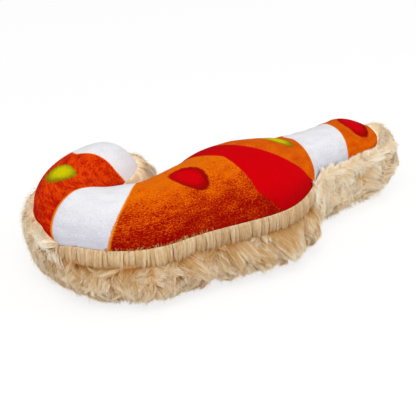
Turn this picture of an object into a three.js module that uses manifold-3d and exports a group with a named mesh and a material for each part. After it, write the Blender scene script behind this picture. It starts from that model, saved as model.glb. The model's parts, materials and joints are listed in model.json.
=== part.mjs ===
// A catnip kicker: a plush candy cane sewn from two panels, stuffed, with a pouch of dried leaf in its belly.
// Millimetres, +Z up. The toy lies on its furry back. The shaft runs along +X and the crook curls toward +Y.

import * as THREE from "three";
import { mergeVertices } from "three/addons/utils/BufferGeometryUtils.js";
import loadManifold from "manifold-3d";

const wasm = await loadManifold();
wasm.setup();

// Centre line: a half circle for the crook, then a shaft that wanders a little to the crook's side
const crookRadius = 27;
const tipReach = 1;
const shaftLength = 147;
const bellyAlong = 61;
const waistAlong = 110;
const bellyAside = 2.5;
const waistAside = 10.5;
const toeAside = 15;

// Half width of the sewn outline
const tipHalfWidth = 21.5;
const bendHalfWidth = 24;
const footHalfWidth = 22.5;
const bellyHalfWidth = 32;
const waistHalfWidth = 20;
const toeHalfWidth = 20;

// Rise of the printed face above the seam
const tipCrown = 25;
const bendCrown = 20;
const footCrown = 26;
const bellyCrown = 27;
const waistCrown = 16.5;
const toeCrown = 12;

// Furry back: how far its pile stands out past the seam, and under the stuffing
const seamHeight = 36;
const tipEndPile = 9;
const crookPile = 5;
const slitPile = 1.2;
const bellyPile = 10;
const waistPile = 6;
const toePile = 7;
const toeEndPile = 14;
const underPile = 8;
const restFlat = 0.5;
const bandDepth = 8;
const flareDepth = 22;
const underTuck = 8;

// How boxy the skirt stands on the floor, as the power of its superellipse
const crookBoxiness = 2.9;
const bellyBoxiness = 4.6;
const waistBoxiness = 2.8;
const toeBoxiness = 3.2;

// Pile at the seam: how far it stands out there, and how far its tufts rise over the seam
const flatStand = 0.4;
const bandStand = 2.2;
const bendStand = 7;
const waistStand = 3.5;
const toeStand = 4.5;
const farToeStand = 3;
const tipEndStand = 11;
const toeEndStand = 14;
const bendRise = 5;
const waistRise = 3;
const toeRise = 4.5;
const tipEndRise = 13;
const toeEndRise = 10;
const shoulderDrop = 2;

// Tufts of the pile below the band: one swell after another along the cane, slanting on the way down
const tuftPitch = 18;
const tuftSlant = 6;
const tuftRelief = 1.8;

// Cloth, seam and thread
const faceThickness = 1.6;
const backingThickness = 1.6;
const seamAllowance = 6;
const panelGap = 0.3;
const fitGap = 0.3;
const stuffingGap = 0.8;
const threadDiameter = 0.7;
const stitchInset = 1.2;
const openingStart = 48;
const openingEnd = 96;
const ladderStitch = 4;
const ladderRise = 1.3;

// Wads of stuffing: where one ends and the next begins along the centre line
const bendWadEnd = -16;
const tipWadEnd = -62;
const shoulderWadEnd = 34;
const bellyWadEnd = 88;
const waistWadEnd = 122;
const wadEdge = 7;
const wadDraw = 0.14;

// Pouch of dried leaf
const pouchRadius = 17;
const pouchSeal = 3;
const pouchRise = 6;
const paperThickness = 0.5;

// Facet counts
const arcFacets = 11;
const skirtShares = [0.14, 0.25, 0.36, 0.47, 0.61, 0.75, 0.87, 0.95, 0.985, 0.997];
const wadFacets = 8;
const capRings = 5;
const crookRings = 18;
const shaftRings = 26;
const threadSides = 5;
const threadSteps = 96;
const pouchFacets = 24;

const crookLength = Math.PI * crookRadius;
const tipCentre = -crookLength - tipReach;

// Values that ease from one place along the cane to the next
function ease(places, u) {
  let last = 0;
  while (last < places.length - 2 && u > places[last + 1][0]) last += 1;
  const [startAlong, startValue] = places[last];
  const [endAlong, endValue] = places[last + 1];
  return THREE.MathUtils.lerp(startValue, endValue, THREE.MathUtils.smoothstep(u, startAlong, endAlong));
}

// One value for each named place, from the crook's tip to the toe
function alongCane(tip, bend, foot, belly, waist, toe) {
  const places = [
    [-crookLength, tip],
    [-crookLength / 2, bend],
    [0, foot],
    [bellyAlong, belly],
    [waistAlong, waist],
    [shaftLength, toe],
  ];
  return (u) => ease(places, u);
}

const halfWidth = alongCane(
  tipHalfWidth, bendHalfWidth, footHalfWidth, bellyHalfWidth, waistHalfWidth, toeHalfWidth,
);
const crown = alongCane(tipCrown, bendCrown, footCrown, bellyCrown, waistCrown, toeCrown);
const outerPile = alongCane(
  crookPile, crookPile, (crookPile + bellyPile) / 2, bellyPile, waistPile, toePile,
);
const innerPile = alongCane(slitPile, slitPile, slitPile, bellyPile, waistPile, toePile);
const outerStand = alongCane(bendStand, bendStand, bandStand, bandStand, waistStand, toeStand);
const innerStand = alongCane(flatStand, flatStand, flatStand, flatStand, flatStand, farToeStand);
const outerRise = alongCane(bendRise, bendRise, 0, 0, waistRise, toeRise);
const innerRise = alongCane(0, 0, 0, 0, 0, 0);
const boxiness = alongCane(
  crookBoxiness, crookBoxiness, (crookBoxiness + bellyBoxiness) / 2, bellyBoxiness, waistBoxiness, toeBoxiness,
);

function centreLine(u) {
  if (u < -crookLength) return new THREE.Vector2(-crookLength - u, crookRadius);
  if (u < 0) {
    const angle = 1.5 * Math.PI + u / crookRadius;
    return new THREE.Vector2(crookRadius * Math.cos(angle), crookRadius * Math.sin(angle));
  }
  const aside = ease([[0, 0], [bellyAlong, bellyAside], [waistAlong, waistAside], [shaftLength, toeAside]], u);
  return new THREE.Vector2(u, aside - crookRadius);
}

// Unit vector to the left of the way along the cane, which is the crook's inner side
function leftOf(u) {
  const step = 0.05;
  const way = centreLine(u + step).sub(centreLine(u - step)).normalize();
  return new THREE.Vector2(-way.y, way.x);
}

function placeOnCane(u, left, up) {
  const spot = centreLine(u).addScaledVector(leftOf(u), left);
  return new THREE.Vector3(spot.x, spot.y, up);
}

// Stations along the whole cane. Round each end they lean outward and their width fades
function caneStations() {
  const stations = [];
  const lastAngle = THREE.MathUtils.degToRad(80);
  for (let ring = capRings; ring > 0; ring -= 1) {
    const angle = (lastAngle * ring) / capRings;
    stations.push({ centre: tipCentre, lean: -Math.sin(angle), fade: Math.cos(angle) });
  }
  for (let ring = 0; ring < crookRings; ring += 1) {
    stations.push({ centre: tipCentre * (1 - ring / crookRings), lean: 0, fade: 1 });
  }
  for (let ring = 0; ring <= shaftRings; ring += 1) {
    stations.push({ centre: (shaftLength * ring) / shaftRings, lean: 0, fade: 1 });
  }
  for (let ring = 1; ring <= capRings; ring += 1) {
    const angle = (lastAngle * ring) / capRings;
    stations.push({ centre: shaftLength, lean: Math.sin(angle), fade: Math.cos(angle) });
  }
  return stations;
}

// The place a station has along the cane, where the outline is let out or drawn in
function alongAt({ centre, lean }, growth) {
  const endHalfWidth = lean < 0 ? tipHalfWidth : toeHalfWidth;
  return centre + lean * (endHalfWidth + growth);
}

// Triangles that close a ring by a strip from its first corner pair to its middle
function stripAcross(count) {
  const triangles = [];
  for (let corner = 0; corner + 1 < count - 1 - corner; corner += 1) {
    const opposite = count - 1 - corner;
    triangles.push([corner, corner + 1, opposite]);
    if (corner + 1 < opposite - 1) triangles.push([corner + 1, opposite - 1, opposite]);
  }
  return triangles;
}

// A closed body through rings of equal count, each ring counter-clockwise as seen from its far end
function loft(rings) {
  const count = rings[0].length;
  const points = rings.flat();
  const faces = [];
  for (let ring = 0; ring + 1 < rings.length; ring += 1) {
    for (let corner = 0; corner < count; corner += 1) {
      const here = ring * count + corner;
      const next = ring * count + ((corner + 1) % count);
      faces.push(here, next, here + count, next, next + count, here + count);
    }
  }
  const lastRing = (rings.length - 1) * count;
  for (const [corner, next, opposite] of stripAcross(count)) {
    faces.push(corner, opposite, next);
    faces.push(lastRing + corner, lastRing + next, lastRing + opposite);
  }
  const geometry = new THREE.BufferGeometry().setFromPoints(points);
  geometry.setIndex(faces);
  return geometry;
}

function solid(geometry) {
  const bare = geometry.clone();
  bare.deleteAttribute("normal");
  bare.deleteAttribute("uv");
  const merged = mergeVertices(bare);
  const vertProperties = Float32Array.from(merged.attributes.position.array);
  const triVerts = Uint32Array.from(merged.index.array);
  return new wasm.Manifold(new wasm.Mesh({ numProp: 3, vertProperties, triVerts }));
}

function geometryOf(body) {
  const { vertProperties, triVerts, numProp } = body.getMesh();
  const geometry = new THREE.BufferGeometry();
  const data = new THREE.InterleavedBuffer(vertProperties, numProp);
  geometry.setAttribute("position", new THREE.InterleavedBufferAttribute(data, 3, 0));
  geometry.setIndex(new THREE.BufferAttribute(triVerts, 1));
  return geometry;
}

// Points of a half ellipse: the upper half from left to right side, or the lower half back again
function halfArc(facets, start, toPoint) {
  return Array.from({ length: facets + 1 }, (_, facet) => toPoint(start + (Math.PI * facet) / facets));
}

// The domed space over the seam, drawn in from the sewn outline
function domeBody(inset, floor) {
  return solid(loft(caneStations().map((station) => {
    const u = alongAt(station, -inset);
    const reach = (halfWidth(u) - inset) * station.fade;
    const rise = (crown(u) + seamHeight - floor - inset) * station.fade;
    return halfArc(arcFacets, 0, (angle) => (
      placeOnCane(u, reach * Math.cos(angle), floor + rise * Math.sin(angle))
    ));
  })));
}

// The stuffed space under the seam, drawn in from the sewn outline
function bowlBody(inset, ceiling, bottom) {
  return solid(loft(caneStations().map((station) => {
    const u = alongAt(station, -inset);
    const reach = (halfWidth(u) - inset) * station.fade;
    const drop = (ceiling - bottom) * station.fade;
    return halfArc(arcFacets, Math.PI, (angle) => (
      placeOnCane(u, reach * Math.cos(angle), ceiling + drop * Math.sin(angle))
    ));
  })));
}

// A flat slice of the cane's outline between two heights
function outlineSlab(inset, low, high) {
  return solid(loft(caneStations().map((station) => {
    const u = alongAt(station, -inset);
    const reach = (halfWidth(u) - inset) * station.fade;
    return [[reach, low], [reach, high], [-reach, high], [-reach, low]].map(([left, up]) => (
      placeOnCane(u, left, up)
    ));
  })));
}

// A length of the pile at a station: its side's own, and at the two ends that of the longer tufts
function pileLength({ centre, lean }, side, outer, inner, tipEnd, toeEnd) {
  const length = side > 0 ? inner(centre) : outer(centre);
  return THREE.MathUtils.lerp(length, lean < 0 ? tipEnd : toeEnd, lean * lean);
}

// How far a tuft stands proud of the pile, or lies back, at a depth under the seam
function tuftSwell({ centre, lean }, side, depth) {
  const endHalfWidth = lean < 0 ? tipHalfWidth : toeHalfWidth;
  const way = centre + endHalfWidth * Math.asin(lean) + (side * tuftSlant * depth) / seamHeight;
  return tuftRelief * Math.sin((2 * Math.PI * way) / tuftPitch);
}

// One side of the pile at a station, from the seam over its tufts and down the skirt to under the floor
function pileSide(station, side) {
  const ceiling = seamHeight - panelGap / 2;
  const bottom = ceiling + restFlat;
  const stand = pileLength(station, side, outerStand, innerStand, tipEndStand, toeEndStand);
  const rise = pileLength(station, side, outerRise, innerRise, tipEndRise, toeEndRise);
  const pile = pileLength(station, side, outerPile, innerPile, tipEndPile, toeEndPile);
  const power = boxiness(station.centre);
  const top = [[0, 0], [stand / 2, rise], [stand, 0.6 * rise - shoulderDrop]];
  const skirt = skirtShares.map((share) => {
    const depth = share * bottom;
    const flare = THREE.MathUtils.smoothstep(depth, bandDepth, flareDepth);
    const swell = (tuftSwell(station, side, depth) * flare * pile) / bellyPile;
    return [THREE.MathUtils.lerp(stand, pile, flare) + swell, -depth];
  });
  return [...top, ...skirt].map(([out, up]) => {
    const depth = Math.max(-up, 0);
    const inward = (1 - (depth / bottom) ** power) ** (1 / power);
    const tuck = Math.abs(station.lean) * underTuck * THREE.MathUtils.smoothstep(depth, flareDepth, ceiling);
    const u = alongAt(station, out - tuck);
    return placeOnCane(u, side * inward * (halfWidth(u) + out) * station.fade, ceiling + up);
  });
}

// The pile's outer form: a combed band at the seam, tufts that rise at the ends, and a skirt down to the floor
function pileBody() {
  const rings = caneStations().map((station) => [...pileSide(station, -1), ...pileSide(station, 1).reverse()]);
  return solid(loft(rings)).subtract(underFloor());
}

// All the space below the resting plane
function underFloor() {
  const reach = 4 * (shaftLength + crookRadius + bellyHalfWidth);
  return solid(new THREE.BoxGeometry(reach, reach, 2 * seamHeight).translate(0, 0, -seamHeight));
}

// Heights of the seam allowances' inner faces
const faceFloor = seamHeight + panelGap / 2;
const faceLedge = faceFloor + faceThickness;
const backCeiling = seamHeight - panelGap / 2;
const backLedge = backCeiling - backingThickness;
const stuffingBottom = underPile + backingThickness;
const threadRoom = threadDiameter + fitGap;

// Printed plush panel: a dome whose edge turns in as the seam allowance
function printedFace() {
  const hollow = domeBody(faceThickness, faceLedge);
  const opening = outlineSlab(faceThickness + seamAllowance, seamHeight, faceLedge + faceThickness);
  return domeBody(0, faceFloor).subtract(hollow).subtract(opening);
}

// Long-pile panel: backing and pile together, with its own allowance under the face's
function furBack() {
  const hollow = bowlBody(backingThickness, backLedge, stuffingBottom);
  const opening = outlineSlab(backingThickness + seamAllowance, backLedge - backingThickness, seamHeight);
  return pileBody().subtract(hollow).subtract(opening);
}

// Space that the seam allowances and their thread take out of the stuffing
function seamGroove() {
  const low = backLedge - threadRoom - fitGap;
  const high = faceLedge + threadRoom + fitGap;
  const neck = outlineSlab(Math.max(faceThickness, backingThickness) + seamAllowance + fitGap, low - 1, high + 1);
  return outlineSlab(-fitGap, low, high).subtract(neck);
}

// One wad: it fills the two panels in its middle and is drawn in a little at its ends
function wadBody(start, end) {
  const inset = Math.max(faceThickness, backingThickness) + stuffingGap;
  const from = start + fitGap / 2;
  const to = end - fitGap / 2;
  const edges = [from, from + wadEdge / 3, from + wadEdge, to - wadEdge, to - wadEdge / 3, to];
  const stations = caneStations()
    .map((station) => ({ u: alongAt(station, -inset), fade: station.fade }))
    .filter(({ u }, index) => index % 2 === 0 && u > from + wadEdge && u < to - wadEdge)
    .concat(edges.filter(Number.isFinite).map((u) => ({ u, fade: 1 })))
    .sort((one, other) => one.u - other.u);
  return solid(loft(stations.map(({ u, fade }) => {
    const toEnd = Math.min(u - from, to - u, wadEdge) / wadEdge;
    const size = fade * (1 - wadDraw * (1 - toEnd) ** 2);
    const reach = (halfWidth(u) - inset) * size;
    const rise = (crown(u) + seamHeight - faceLedge - inset) * size;
    const drop = (backLedge - stuffingBottom - stuffingGap) * size;
    const upper = halfArc(wadFacets, 0, (angle) => (
      placeOnCane(u, reach * Math.cos(angle), faceLedge + rise * Math.sin(angle))
    ));
    const lower = halfArc(wadFacets, Math.PI, (angle) => (
      placeOnCane(u, reach * Math.cos(angle), backLedge + drop * Math.sin(angle))
    ));
    return [...upper, ...lower];
  }))).subtract(seamGroove());
}

// Half of the space round the cane, above or below the pouch's seal
function halfSpace(side) {
  const reach = 4 * (shaftLength + crookRadius + bellyHalfWidth);
  const middle = seamHeight + side * (reach / 2 + paperThickness + fitGap);
  return solid(new THREE.BoxGeometry(reach, reach, reach).translate(0, 0, middle));
}

function revolve(profile) {
  const points = profile.map(([radius, up]) => new THREE.Vector2(radius, up));
  const geometry = new THREE.LatheGeometry(points, pouchFacets);
  const centre = placeOnCane(bellyAlong, 0, seamHeight);
  return geometry.rotateX(Math.PI / 2).translate(centre.x, centre.y, centre.z);
}

// Height of the pouch's outer face over its seal
function pouchHeight(share, extra) {
  return (pouchRise + extra) * Math.cos((share * Math.PI) / 2) ** 1.3;
}

const pouchShares = [0, 0.2, 0.4, 0.6, 0.8, 1];

// Room for the pouch in the stuffing, with its clearance
function pouchRoom() {
  const seal = paperThickness + panelGap / 2 + fitGap;
  const outer = pouchRadius + pouchSeal + fitGap;
  const upper = pouchShares.map((share) => [pouchRadius * share, seal + pouchHeight(share, 0)]);
  const lower = upper.map(([radius, up]) => [radius, -up]).reverse();
  return solid(revolve([...upper, [outer, seal], [outer, -seal], ...lower].reverse()));
}

// One sheet of the pouch: a shallow dish with a flat sealed rim
function pouchSheet(side) {
  const bed = panelGap / 2;
  const outside = pouchShares.map((share) => [pouchRadius * share, bed + paperThickness + pouchHeight(share, 0)]);
  const inside = pouchShares.map((share) => [
    (pouchRadius - paperThickness) * share, bed + pouchHeight(share, 0),
  ]);
  const rim = [[pouchRadius + pouchSeal, bed + paperThickness], [pouchRadius + pouchSeal, bed]];
  const profile = [...outside, ...rim, ...inside.reverse()].map(([radius, up]) => [radius, side * up]);
  return revolve(side > 0 ? profile.reverse() : profile);
}

function driedLeaf() {
  const radius = pouchRadius - paperThickness - 2 * fitGap;
  const upper = pouchShares.slice(0, -1).map((share) => [radius * share, pouchHeight(share, -2 * fitGap)]);
  const lower = upper.map(([reach, up]) => [reach, -up]).reverse();
  return revolve([...upper, [radius, 0], ...lower].reverse());
}

// A round thread along points
function threadAlong(points, steps) {
  const section = new THREE.Shape(Array.from({ length: threadSides }, (_, side) => {
    const angle = (2 * Math.PI * side) / threadSides;
    return new THREE.Vector2(Math.cos(angle), Math.sin(angle)).multiplyScalar(threadDiameter / 2);
  }));
  const extrudePath = new THREE.CatmullRomCurve3(points);
  return new THREE.ExtrudeGeometry(section, { steps, extrudePath, bevelEnabled: false });
}

// Lockstitch thread: from one end of the turning gap, round the whole seam, to its other end
function seamThread(up) {
  const inset = Math.max(faceThickness, backingThickness) + stitchInset;
  const stations = caneStations();
  const edge = (side) => (station) => {
    const u = alongAt(station, -inset);
    return placeOnCane(u, side * (halfWidth(u) - inset) * station.fade, up);
  };
  const toToe = stations.filter(({ centre }) => centre > openingEnd).map(edge(1));
  const toTip = stations.toReversed().map(edge(-1));
  const toOpening = stations.filter(({ centre }) => centre < openingStart).map(edge(1));
  return threadAlong([...toToe, ...toTip, ...toOpening], threadSteps);
}

// Hand stitches that close the turning gap, back and forth over the seam
function closingThread() {
  const count = Math.round((openingEnd - openingStart) / ladderStitch);
  const points = Array.from({ length: count + 1 }, (_, stitch) => {
    const u = openingStart + stitch * ladderStitch;
    const up = seamHeight + (stitch % 2 === 0 ? ladderRise : -ladderRise);
    return placeOnCane(u, halfWidth(u) + fitGap + threadDiameter, up);
  });
  return threadAlong(points, count * 3);
}

const cane = new THREE.Group();

function addPiece(name, geometry, color, roughness) {
  const material = new THREE.MeshStandardMaterial({ color, roughness, metalness: 0 });
  const piece = new THREE.Mesh(geometry, material);
  piece.name = name;
  cane.add(piece);
}

const plushOrange = 0xd9640f;
const furCream = 0xdfc69d;
const threadCream = 0xeadfc8;
const fibreWhite = 0xf5f3ee;
const paperWhite = 0xe9e4d8;
const leafGreen = 0x74814a;

const furGeometry = geometryOf(furBack());
addPiece("fur_back", furGeometry, furCream, 0.95);
addPiece("printed_face", geometryOf(printedFace()), plushOrange, 0.85);
addPiece("seam_needle_thread", seamThread(faceLedge + fitGap + threadDiameter / 2), threadCream, 0.7);
addPiece("seam_bobbin_thread", seamThread(backLedge - fitGap - threadDiameter / 2), threadCream, 0.7);
addPiece("closing_thread", closingThread(), threadCream, 0.7);

const belly = wadBody(shoulderWadEnd, bellyWadEnd).subtract(pouchRoom());
const wads = {
  filling_crook_tip: wadBody(-Infinity, tipWadEnd),
  filling_bend: wadBody(tipWadEnd, bendWadEnd),
  filling_shoulder: wadBody(bendWadEnd, shoulderWadEnd),
  filling_belly_upper: belly.intersect(halfSpace(1)),
  filling_belly_lower: belly.intersect(halfSpace(-1)),
  filling_waist: wadBody(bellyWadEnd, waistWadEnd),
  filling_toe: wadBody(waistWadEnd, Infinity),
};
for (const [name, wad] of Object.entries(wads)) {
  addPiece(name, geometryOf(wad), fibreWhite, 0.9);
}

addPiece("pouch_upper_sheet", pouchSheet(1), paperWhite, 0.8);
addPiece("pouch_lower_sheet", pouchSheet(-1), paperWhite, 0.8);
addPiece("dried_leaf", driedLeaf(), leafGreen, 0.9);

// The origin is on the floor, under the middle of the furry back
furGeometry.computeBoundingBox();
const middle = furGeometry.boundingBox.getCenter(new THREE.Vector3());
cane.position.set(-middle.x, -middle.y, 0);

const group = new THREE.Group();
group.add(cane);
group.updateMatrixWorld(true);

export default group;
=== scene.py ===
"""A catnip kicker: a plush candy cane with a printed face and a furry back, dressed over its frame."""

import json
import math

import bmesh
import bpy
import numpy as np
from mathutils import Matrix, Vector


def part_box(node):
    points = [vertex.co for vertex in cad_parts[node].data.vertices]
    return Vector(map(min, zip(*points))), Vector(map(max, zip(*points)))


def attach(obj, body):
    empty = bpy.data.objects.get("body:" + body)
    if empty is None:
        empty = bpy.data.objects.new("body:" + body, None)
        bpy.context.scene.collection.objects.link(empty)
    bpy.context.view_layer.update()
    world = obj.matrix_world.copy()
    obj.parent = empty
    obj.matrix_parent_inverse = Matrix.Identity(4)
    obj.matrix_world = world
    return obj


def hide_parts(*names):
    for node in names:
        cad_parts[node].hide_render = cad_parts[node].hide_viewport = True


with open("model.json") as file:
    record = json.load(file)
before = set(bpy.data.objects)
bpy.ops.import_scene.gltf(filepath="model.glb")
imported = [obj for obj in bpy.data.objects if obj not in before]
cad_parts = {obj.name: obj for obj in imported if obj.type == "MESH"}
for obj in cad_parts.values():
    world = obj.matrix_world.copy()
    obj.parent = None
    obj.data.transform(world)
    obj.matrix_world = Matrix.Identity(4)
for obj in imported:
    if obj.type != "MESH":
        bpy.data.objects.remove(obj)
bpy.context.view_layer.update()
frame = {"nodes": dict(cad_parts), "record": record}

# Lengths are millimetres here, and a mesh is turned into metres as it is made
MM = 0.001

# Centre line: a half circle for the crook, then a shaft that wanders a little to the crook's side
CROOK_RADIUS = 27.0
CROOK_LENGTH = math.pi * CROOK_RADIUS
TIP_CENTRE = -CROOK_LENGTH - 1.0
SHAFT_LENGTH = 147.0
BELLY_ALONG = 61.0
WAIST_ALONG = 110.0
PLACES = (-CROOK_LENGTH, -CROOK_LENGTH / 2, 0.0, BELLY_ALONG, WAIST_ALONG, SHAFT_LENGTH)
ASIDE = (0.0, 0.0, 0.0, 2.5, 10.5, 15.0)

# Half width of the sewn outline and rise of the printed face, at the tip, bend, foot, belly, waist and toe
HALF_WIDTHS = (21.5, 24.0, 22.5, 32.0, 20.0, 20.0)
CROWNS = (25.0, 20.0, 26.0, 27.0, 16.5, 12.0)
TIP_HALF_WIDTH = HALF_WIDTHS[0]
TOE_HALF_WIDTH = HALF_WIDTHS[-1]
SEAM_HEIGHT = 36.0

# Lengths of the furry back's pile at the same six places, on the outer and the inner side, then at the
# crook's end and the toe's end: how far the skirt stands out, how far the pile at the seam does, and how far
# that rises
PILE = ((5.0, 5.0, 7.5, 10.0, 6.0, 7.0), (1.2, 1.2, 1.2, 10.0, 6.0, 7.0), 9.0, 14.0)
STAND = ((5.5, 6.2, 2.2, 2.2, 3.5, 4.5), (2.5, 0.4, 0.4, 0.4, 0.4, 3.0), 11.0, 14.0)
RISE = ((3.5, 2.0, 0.0, 0.0, 1.5, 0.8), (8.0, 0.0, 0.0, 0.0, 0.0, -3.0), 12.5, 7.0)

# The pile's section: how boxy it is at the six places, the skirt's length at the belly, the depths under the
# seam where the band ends, the skirt has flared and its tips end, and how far the two ends tuck in
BOXINESS = (2.9, 2.9, 3.75, 4.6, 2.8, 3.2)
BELLY_PILE = 10.0
BAND_DEPTH = 8.0
FLARE_DEPTH = 22.0
PILE_FOOT = 31.0
END_TUCK = 8.0

# The skirt's tufts: how far apart, how slanted and how proud
TUFT_PITCH = 18.0
TUFT_SLANT = 6.0
TUFT_RELIEF = 1.8

# The stuffing's depth under the seam, the drop of the pile's shoulder, and the lip back over the seam
STUFFING_DEPTH = 27.0
SHOULDER_DROP = 2.0
LIP = 10.0

# How far the fur's ground is let out, as a share of the pile's stand, where it is combed and where tousled
GROUND_SHARE = 0.66
LOOSE_GROUND_SHARE = 0.86

# Where the seam hangs on the near side of the crook, how far, and over what length
SAG_ALONG = -36.5
SAG_DEPTH = 3.0
SAG_SPREAD = 4.5

# Where the near side folds at the belly's end and is pinched at the waist
FOLD_ALONG = 83.0
PINCH_ALONG = 104.0

# Where the pile is combed on the near and the far side: its start and how long it eases in, then its end and
# how long it eases out
NEAR_COMBED = (-46.0, 12.0, 100.0, 16.0)
FAR_COMBED = (-86.0, 14.0, 130.0, 16.0)

# Where the crook's centre lies in the part's frame, read from the printed panel's box
face_low, face_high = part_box("printed_face")
CROOK_X = face_low[0] / MM + CROOK_RADIUS + HALF_WIDTHS[1]
CROOK_Y = face_high[1] / MM - CROOK_RADIUS - TIP_HALF_WIDTH


# The cane's plan


def smooth(share):
    """Smooth step: 3 s squared minus 2 s cubed, held at 0 and 1 outside."""
    held = np.clip(share, 0, 1)
    return held * held * (3 - 2 * held)


def along_cane(u, values):
    """A value that eases by a smooth step from each named place along the cane to the next."""
    places = np.asarray(PLACES)
    levels = np.asarray(values)
    step = np.clip(np.searchsorted(places, u) - 1, 0, len(places) - 2)
    share = (u - places[step]) / (places[step + 1] - places[step])
    return levels[step] + (levels[step + 1] - levels[step]) * smooth(share)


def centre_line(u):
    """Plan of the centre line: straight at the tip, a half circle of the crook's radius, then the shaft."""
    angle = 1.5 * np.pi + np.clip(u, -CROOK_LENGTH, 0) / CROOK_RADIUS
    x = CROOK_RADIUS * np.cos(angle) + np.maximum(u, 0) - np.minimum(u + CROOK_LENGTH, 0)
    y = CROOK_RADIUS * np.sin(angle) + along_cane(np.maximum(u, 0), ASIDE)
    return np.stack([x + CROOK_X, y + CROOK_Y], -1)


def way_along(u):
    """Unit vector along the centre line, by a central difference."""
    step = centre_line(u + 0.05) - centre_line(u - 0.05)
    return step / np.linalg.norm(step, axis=-1, keepdims=True)


def left_of(u):
    """The way along the cane turned a quarter to the left, which is the crook's inner side."""
    way = way_along(u)
    return np.stack([-way[..., 1], way[..., 0]], -1)


def on_cane(u, left, up):
    """A point that lies a length along the cane, a length to its left and a height over the floor."""
    plan = centre_line(u) + left_of(u) * np.asarray(left)[..., None]
    return np.concatenate([plan, np.broadcast_to(up, plan.shape[:-1])[..., None]], -1)


# Lengths along the cane: round its tip, round its toe, between the two and in all
TIP_CAP = TIP_HALF_WIDTH * math.pi / 2
TOE_CAP = TOE_HALF_WIDTH * math.pi / 2
MIDDLE = SHAFT_LENGTH - TIP_CENTRE
WAY_LENGTH = TIP_CAP + MIDDLE + TOE_CAP


def stations(way):
    """Centre, lean and fade at a length along the cane from the tip's end to the toe's end.
    Round each end the lean is the sine and the fade the cosine of a quarter turn."""
    tip_turn = np.clip(1 - way / TIP_CAP, 0, 1) * np.pi / 2
    toe_turn = np.clip((way - TIP_CAP - MIDDLE) / TOE_CAP, 0, 1) * np.pi / 2
    centre = np.clip(TIP_CENTRE + way - TIP_CAP, TIP_CENTRE, SHAFT_LENGTH)
    return centre, np.sin(toe_turn) - np.sin(tip_turn), np.cos(toe_turn) * np.cos(tip_turn)


def end_half_width(lean):
    """The tip's half width where the lean is under nought, and the toe's elsewhere."""
    return np.where(lean < 0, TIP_HALF_WIDTH, TOE_HALF_WIDTH)


def waves(*terms):
    """A sum of sines, each given as (phase array, size)."""
    return sum(size * np.sin(phase) for phase, size in terms)


def bell(offset, spread):
    """A bell: e to the power of minus the square of offset over spread."""
    return np.exp(-((offset / spread) ** 2))


# The printed panel and the furry back as surfaces


def seam_sag(u):
    """A bell by which the seam hangs on the near side, where the white stripe's corner bulges over it."""
    return SAG_DEPTH * bell(u - SAG_ALONG, SAG_SPREAD)


def printed_dome(way, turn, room=0.0):
    """Half ellipse carried along the cane: left by the cosine of turn, up by its sine, faded at the ends.
    Small waves add the stuffing's lumps, the seam draws the edge in with gathers, and room holds it back."""
    centre, lean, fade = stations(way)
    u = centre + lean * end_half_width(lean)
    lift = np.sin(turn)
    edge = bell(lift, 0.2)
    gathers = waves((way * 1.05 + np.sin(way / 9) * 1.7, 0.35), (way * 0.61 + 2 * np.cos(turn), 0.25)) - 0.3
    lumps = waves((way / 9 + 3 * turn, 0.35), (way / 5.3 - 4.3 * turn, 0.22), (way / 14 + 1.9 * turn, 0.4))
    swell = (gathers * edge + lumps * (1 - edge) + waist_crease(u, turn) - room * lift) * smooth(lift / 0.12)
    reach = along_cane(u, HALF_WIDTHS) * fade + swell * fade
    rise = along_cane(u, CROWNS) * fade + swell * fade
    sag = seam_sag(u) * smooth((turn - 1.9) / 1.2)
    return on_cane(u, reach * np.cos(turn), SEAM_HEIGHT + rise * np.sin(turn) - sag)


def waist_crease(u, turn):
    """A slanting fold where the belly ends and a pinch at the waist: bells along the cane, deepest at the
    near seam by a smooth step."""
    near = smooth((turn - 2.0) / 0.9)
    fold = bell(u - FOLD_ALONG - 9 * (turn - 2.6), 2.6)
    pinch = bell(u - PINCH_ALONG, 5.0)
    return -near * (1.8 * fold + 1.0 * pinch)


def backing(way, side, angle):
    """Lower half ellipse under the seam: out to the side by the cosine of angle and down by its sine."""
    centre, lean, fade = stations(way)
    u = centre + lean * end_half_width(lean)
    reach = along_cane(u, HALF_WIDTHS) * fade
    sag = np.where(side < 0, seam_sag(u), 0) * np.cos(angle)
    return on_cane(u, side * reach * np.cos(angle), SEAM_HEIGHT - STUFFING_DEPTH * fade * np.sin(angle) - sag)


def pile_length(lengths, way, side, tip_power=2.0, far_toe_power=2.0):
    """A length of the pile: its side's own along the cane, which a power of the lean eases into that of the
    longer tufts at the two ends."""
    outer, inner, tip_end, toe_end = lengths
    centre, lean, _ = stations(way)
    length = np.where(side > 0, along_cane(centre, inner), along_cane(centre, outer))
    power = np.where(lean < 0, tip_power, np.where(side > 0, far_toe_power, 2.0))
    share = np.abs(lean) ** power
    return length + (np.where(lean < 0, tip_end, toe_end) - length) * share


def lip_rise(way, side):
    """How far the pile's lip rises over the seam: early round the tip's inner side, and on the far side of
    the toe only at its very end."""
    return pile_length(RISE, way, side, np.where(side > 0, 0.35, 1.5), 24.0)


def tuft_swell(way, side, depth):
    """A sine along the cane, slanting on the way down, by which the skirt's tufts stand proud or lie back."""
    from_foot = way + TIP_CENTRE - TIP_CAP
    slant = side * TUFT_SLANT * depth / SEAM_HEIGHT
    return TUFT_RELIEF * np.sin(2 * np.pi * (from_foot + slant) / TUFT_PITCH)


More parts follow.
